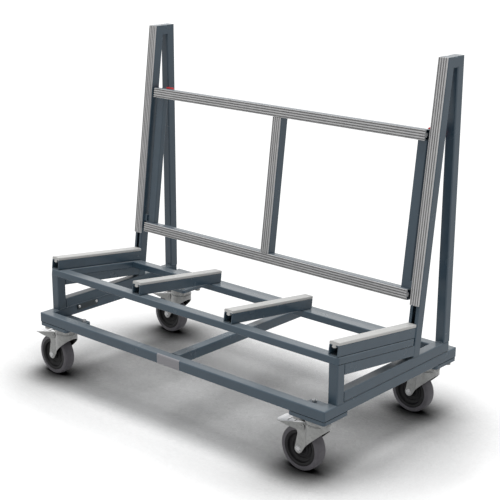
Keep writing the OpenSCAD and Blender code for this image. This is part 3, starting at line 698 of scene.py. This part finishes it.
def knob_rings():
    """A star knob 40 mm over its six lobes: r = R(s) (1 - 0.075 L(s) (1 - cos 6t)) on a section R(s) that
    runs up the neck, out to the rim and over a shallow dome with a ring round its middle; s is the way
    along U, and L rises from 0 at the neck, r = 10.5, to 1 at r = 16.5."""
    section = np.array([
        (10.0, 34.4), (10.0, 41.5), (10.8, 43.0), (16.0, 43.4), (18.6, 44.4), (20.0, 46.8), (20.0, 56.5),
        (19.2, 59.4), (17.2, 60.9), (13.0, 61.3), (10.4, 61.3), (9.8, 60.7), (8.8, 60.7), (8.2, 61.2),
        (4.0, 61.35), (0.8, 61.35)])
    lobe_count, lobe_share, neck, rise = 6, 0.075, 10.5, 6.0
    t = np.linspace(0, 2 * math.pi, 96, endpoint=False)
    lobe = np.clip((section[:, :1] - neck) / rise, 0, 1)
    r = section[:, :1] * (1 - lobe_share * lobe * (1 - np.cos(lobe_count * t)))
    return np.stack([r * np.cos(t), section[:, 1:] + 0 * t, r * np.sin(t)], axis=-1)


def make_knobs():
    """The two clamp knobs behind the back frame's top rail, and their screws."""
    knob_x = 56.0
    star = knob_rings()
    rod = lathe([(4.2, 21.6), (5.0, 22.4), (5.0, 34.4)], 40)[..., [0, 2, 1]]
    for side, x in (("left", knob_x), ("right", BASE_L - knob_x)):
        at = np.array([x, 0.0, BACK_TOP])
        head = mesh_object(f"{side}_star_knob", lean(star + at), knob_phenolic, angle=40.0)
        screw = mesh_object(f"{side}_knob_screw", lean(rod + at), bolt_zinc)
        for piece in (head, screw):
            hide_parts(f"{side}_knob")
            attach(piece, f"{side}_clamp_knob")


def bead(start, end, normal):
    """A weld bead along a straight seam, 4.4 mm wide and 2 mm high: a low arch that swells and pinches
    every 2.2 mm, 1 + 0.1 sin(2 pi d / 2.2) at d from its start, and is drawn in at its ends,
    clip(e / 2.5 + 0.12, 0, 1)^0.6 at e from the nearer one. normal is the way the bead stands out."""
    width, height, sunk = 4.4, 2.0, 0.3
    ripple, ripple_share, step = 2.2, 0.1, 0.55
    taper, tip, fullness = 2.5, 0.12, 0.6
    start, end = np.asarray(start, float), np.asarray(end, float)
    length = np.linalg.norm(end - start)
    ahead = (end - start) / length
    up = np.asarray(normal, float) / np.linalg.norm(normal)
    side = np.cross(ahead, up)
    s = np.linspace(0, 1, int(length / step))[:, None]
    drawn_in = np.clip(np.minimum(s, 1 - s) * length / taper + tip, 0, 1) ** fullness
    swell = (1 + ripple_share * np.sin(2 * math.pi * s * length / ripple)) * drawn_in
    t = np.linspace(0, math.pi, 9)
    lift = height * swell * np.sin(t) - sunk
    over = width / 2 * swell * np.cos(t)
    return start + s[..., None] * length * ahead + over[..., None] * side + lift[..., None] * up


def side_seams(x0, x1, inner, sense):
    """The seams of one side frame: behind the front post's foot, inside the lower rail's end; where post
    and lower rail stand on the base rail; on the front and the inner side of the rear post's foot. The
    tubes lie from x0 to x1, their inner face is at X = inner, and sense is the sign of X toward the
    cart's middle. Each seam keeps a few tenths of a millimetre to the faces that it joins."""
    clear, near = 5.0, 0.1
    post_back, round_off = FRONT_POST_Y + TUBE + 0.4, TUBE_ROUND
    rail_z, post_z = RAIL_TOP + 0.2, SIDE_TOP + 0.2
    face = inner - near * sense
    return [
        ((x0 + clear, post_back, RAIL_TOP + 1.0), (x1 - clear, post_back, RAIL_TOP + 1.0), (0, 1, 1)),
        ((face, FRONT_POST_Y + round_off, rail_z), (face, REAR_POST_Y - 2.5, rail_z), (sense, 0, 0)),
        ((x0 + clear, REAR_POST_Y - near, SIDE_TOP + 0.3), (x1 - clear, REAR_POST_Y - near, SIDE_TOP + 0.3),
         (0, -1, 1)),
        ((face, REAR_POST_Y + round_off, post_z), (face, REAR_POST_Y + TUBE - round_off, post_z),
         (sense, 0, 0.4)),
    ]


def cross_rail_seams():
    """The seams of the base's cross rail against the front and the back rail: up both its sides and over
    its top."""
    clear, near, half = 4.5, 0.2, TUBE / 2
    middle, top = BASE_L / 2, RAIL_TOP + 0.1
    ends = ((TUBE + near, 1), (BASE_D - TUBE - near, -1))
    seams = []
    for sense in (-1, 1):
        x = middle + sense * (half + near)
        for y, way in ends:
            seams.append(((x, y, RAIL_LOW + clear), (x, y, RAIL_TOP - clear), (sense, way, 0)))
    for y, way in ends:
        seams.append(((middle - half + clear, y, top), (middle + half - clear, y, top), (0, way, 1)))
    return seams


def corner_plate_seams(corner):
    """The two seams on top of a corner plate, along the inner faces of the rails that it joins."""
    start, reach_x, reach_y = TUBE + TUBE_ROUND, 112.0, 94.0
    face, z = TUBE + 0.2, RAIL_LOW + 0.1
    sx, sy = inward(corner)
    ex, ey = (0.0 if sx > 0 else BASE_L), (0.0 if sy > 0 else BASE_D)
    return [
        ((ex + sx * start, ey + sy * face, z), (ex + sx * reach_x, ey + sy * face, z), (0, sy, 1)),
        ((ex + sx * face, ey + sy * start, z), (ex + sx * face, ey + sy * reach_y, z), (sx, 0, 1)),
    ]


def make_welds():
    """Weld beads of the frame where two tubes meet in a corner."""
    seams = side_seams(0.0, TUBE, TUBE, 1) + side_seams(BASE_L - TUBE, BASE_L, BASE_L - TUBE, -1)
    seams += cross_rail_seams()
    for corner in CORNERS:
        seams += corner_plate_seams(corner)
    for i, (start, end, normal) in enumerate(seams):
        rings = bead(start, end, normal)
        piece = mesh_object(f"weld_bead_{i + 1:02d}", rings, paint, caps=False, wrap=False, angle=80.0)
        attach(piece, "cart")


def make_ground_seams():
    """Weld metal ground flush where the upright, its tie and the rear post meet: it fills the round of the
    tube corners with a strip whose section is a triangle, its long side 0.02 mm behind the face. The
    upright's back is at y = foot + tube / cos lean + (z - foot) tan lean."""
    z = np.array([1004.0, 1026.5])
    upright_y = FOOT[1] + TUBE / math.cos(LEAN) + (z - FOOT[2]) * math.tan(LEAN)
    post_y = np.full(2, REAR_POST_Y)
    sunk, deep = 0.02, 1.6
    strips = []
    for x, sense in ((0.0, 1), (TUBE, -1), (BASE_L - TUBE, 1), (BASE_L, -1)):
        for y, front, back, keel in ((upright_y, 3.2, 0.6, 0.0), (post_y, 0.6, 4.2, 0.9)):
            section = [(0.0, -front), (0.0, back), (sense * deep, keel)]
            strips.append(np.array([[[x + dx + sunk * sense, at + dy, height] for dx, dy in section]
                                    for at, height in zip(y, z)]))
    piece = mesh_object("ground_welds", np.stack(strips), paint)
    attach(piece, "cart")


def make_label():
    """A bare self-adhesive plate on the front rail, 86.5 mm long and 0.35 mm thick. Its section runs up
    the flat from z = 178.5 and bends round the tube's upper edge by 85 degrees, then back inside. The
    points at z = 190 keep the shading of the bend off the lower flat."""
    ends, low, shaded_from, thick = (508.0, 594.5), 178.5, 190.0, 0.35
    middle = (TUBE_ROUND, RAIL_TOP - TUBE_ROUND)
    outer = [(-thick, low), (-thick, shaded_from), *arc(middle, TUBE_ROUND + thick, 180, 95, 8)]
    inner = [(0.0, low), (0.0, shaded_from), *arc(middle, TUBE_ROUND, 180, 95, 8)]
    section = np.array(outer + inner[::-1])
    rings = np.stack([np.insert(section, 0, x, axis=1) for x in ends])
    piece = mesh_object("bare_label", rings, label_film)
    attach(piece, "cart")


def make_stop():
    """The black rubber strap on the inner side of the left lower rails, 80 by 17 mm and 4.6 mm thick, its
    outer edges drawn in by two steps, and a pan-head screw near each end."""
    outline = rounded_outline(80.0, 17.0, 3.0)
    centre_y, centre_z, screw_y, screw_z, seat = 162.0, 197.5, 34.5, 200.0, 4.4
    steps = ((0.0, 1.0), (3.2, 1.0), (4.2, 0.985), (4.6, 0.95))
    rings = np.stack([np.insert(share * outline + [centre_y, centre_z], 0, TUBE + thick, axis=1)
                      for thick, share in steps])
    piece = mesh_object("rubber_strap", rings, strap_rubber)
    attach(piece, "cart")
    pan = lathe([(4.6, 0.0), (4.6, 0.9), (4.1, 2.0), (3.0, 2.8), (1.4, 3.1), (0.5, 3.15)], 40)
    heads = np.stack([np.stack([TUBE + seat + pan[..., 2], y + pan[..., 0], screw_z + pan[..., 1]], axis=-1)
                      for y in (centre_y - screw_y, centre_y + screw_y)])
    piece = mesh_object("strap_screws", heads, bolt_zinc)
    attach(piece, "cart")


def floor_material():
    """Seamless white studio floor. The camera sees it at a gain that takes its unshadowed level to white
    and deepens the shade under the cart by how much of the floor's sky is covered within 0.42 m; every
    other ray meets a plain pale floor."""
    material, tree = start_material("studio_floor_white")[:2]
    rays = add_node(tree, "ShaderNodeLightPath")
    cover = add_node(tree, "ShaderNodeAmbientOcclusion", {"Distance": SHADE_REACH}, samples=24)
    open_sky = add_node(tree, "ShaderNodeMapRange", {"Value": cover.outputs["AO"], "From Max": SHADE_OPEN})
    deep = add_node(tree, "ShaderNodeMath", {0: open_sky.outputs["Result"], 1: SHADE_POWER},
                    operation="POWER")
    seen = add_node(tree, "ShaderNodeMath", {0: deep.outputs[0], 1: FLOOR_GAIN}, operation="MULTIPLY")
    level = add_node(tree, "ShaderNodeMapRange", {
        "Value": rays.outputs["Is Camera Ray"], "To Min": FLOOR_PLAIN, "To Max": seen.outputs[0]})
    shader = add_node(tree, "ShaderNodeBsdfDiffuse", {"Color": level.outputs["Result"]})
    end_material(tree, shader)
    return material


def make_floor():
    """A plain square floor, 60 m wide."""
    half = 30.0
    corners = [(-half, -half, 0), (half, -half, 0), (half, half, 0), (-half, half, 0)]
    mesh = bpy.data.meshes.new("studio_floor")
    mesh.from_pydata(corners, [], [(0, 1, 2, 3)])
    mesh.materials.append(floor_material())
    floor = bpy.data.objects.new("studio_floor", mesh)
    bpy.context.scene.collection.objects.link(floor)


def make_lights():
    """A dome that the camera and mirrors see white, and one very soft lamp straight above: level light
    that falls off under the cart."""
    light = bpy.data.lights.new("overhead_softbox", "SUN")
    light.energy, light.angle = SUN_LEVEL, math.radians(SUN_SPREAD)
    lamp = bpy.data.objects.new("overhead_softbox", light)
    bpy.context.scene.collection.objects.link(lamp)
    lamp.location = (0.0, 0.0, 4.0)
    world = bpy.data.worlds.new("studio_world")
    bpy.context.scene.world = world
    world.use_nodes = True
    tree = world.node_tree
    tree.nodes.clear()
    rays = add_node(tree, "ShaderNodeLightPath").outputs
    seen = add_node(tree, "ShaderNodeMath", {0: rays["Is Camera Ray"], 1: rays["Is Glossy Ray"]},
                    operation="MAXIMUM")
    clear = add_node(tree, "ShaderNodeMath", {0: seen.outputs[0], 1: rays["Is Transmission Ray"]},
                     operation="MAXIMUM")
    strength = add_node(tree, "ShaderNodeMapRange", {
        "Value": clear.outputs[0], "To Min": DOME_LEVEL, "To Max": 1.0})
    sky = add_node(tree, "ShaderNodeBackground", {"Color": grey(1.0), "Strength": strength.outputs["Result"]})
    add_node(tree, "ShaderNodeOutputWorld", {"Surface": sky.outputs[0]})


def make_camera():
    """The camera fitted to the photograph: yaw, pitch and roll in radians, focal length in pixels."""
    yaw, pitch, roll = -0.7257, 0.2907, 0.0033
    focal, picture_width, sensor = 1224.2, 500, 36.0
    eye = (2806.5, -2202.4, 1455.4)
    ahead = np.array([math.sin(yaw) * math.cos(pitch), math.cos(yaw) * math.cos(pitch), -math.sin(pitch)])
    level = np.array([math.cos(yaw), -math.sin(yaw), 0.0])
    above = np.cross(level, ahead)
    right = math.cos(roll) * level + math.sin(roll) * above
    up = -math.sin(roll) * level + math.cos(roll) * above
    lens = bpy.data.cameras.new("photo_camera")
    lens.sensor_width, lens.sensor_fit = sensor, "HORIZONTAL"
    lens.lens = focal / picture_width * sensor
    camera = bpy.data.objects.new("photo_camera", lens)
    bpy.context.scene.collection.objects.link(camera)
    turn = Matrix([right, up, -ahead]).transposed().to_4x4()
    camera.matrix_world = Matrix.Translation(place(eye)) @ turn
    bpy.context.scene.camera = camera


make_linings()
make_wheels()
make_casters()
make_bolts()
make_knobs()
make_welds()
make_ground_seams()
make_label()
make_stop()
make_floor()
make_lights()
make_camera()
bpy.context.scene.view_settings.view_transform = "Standard"
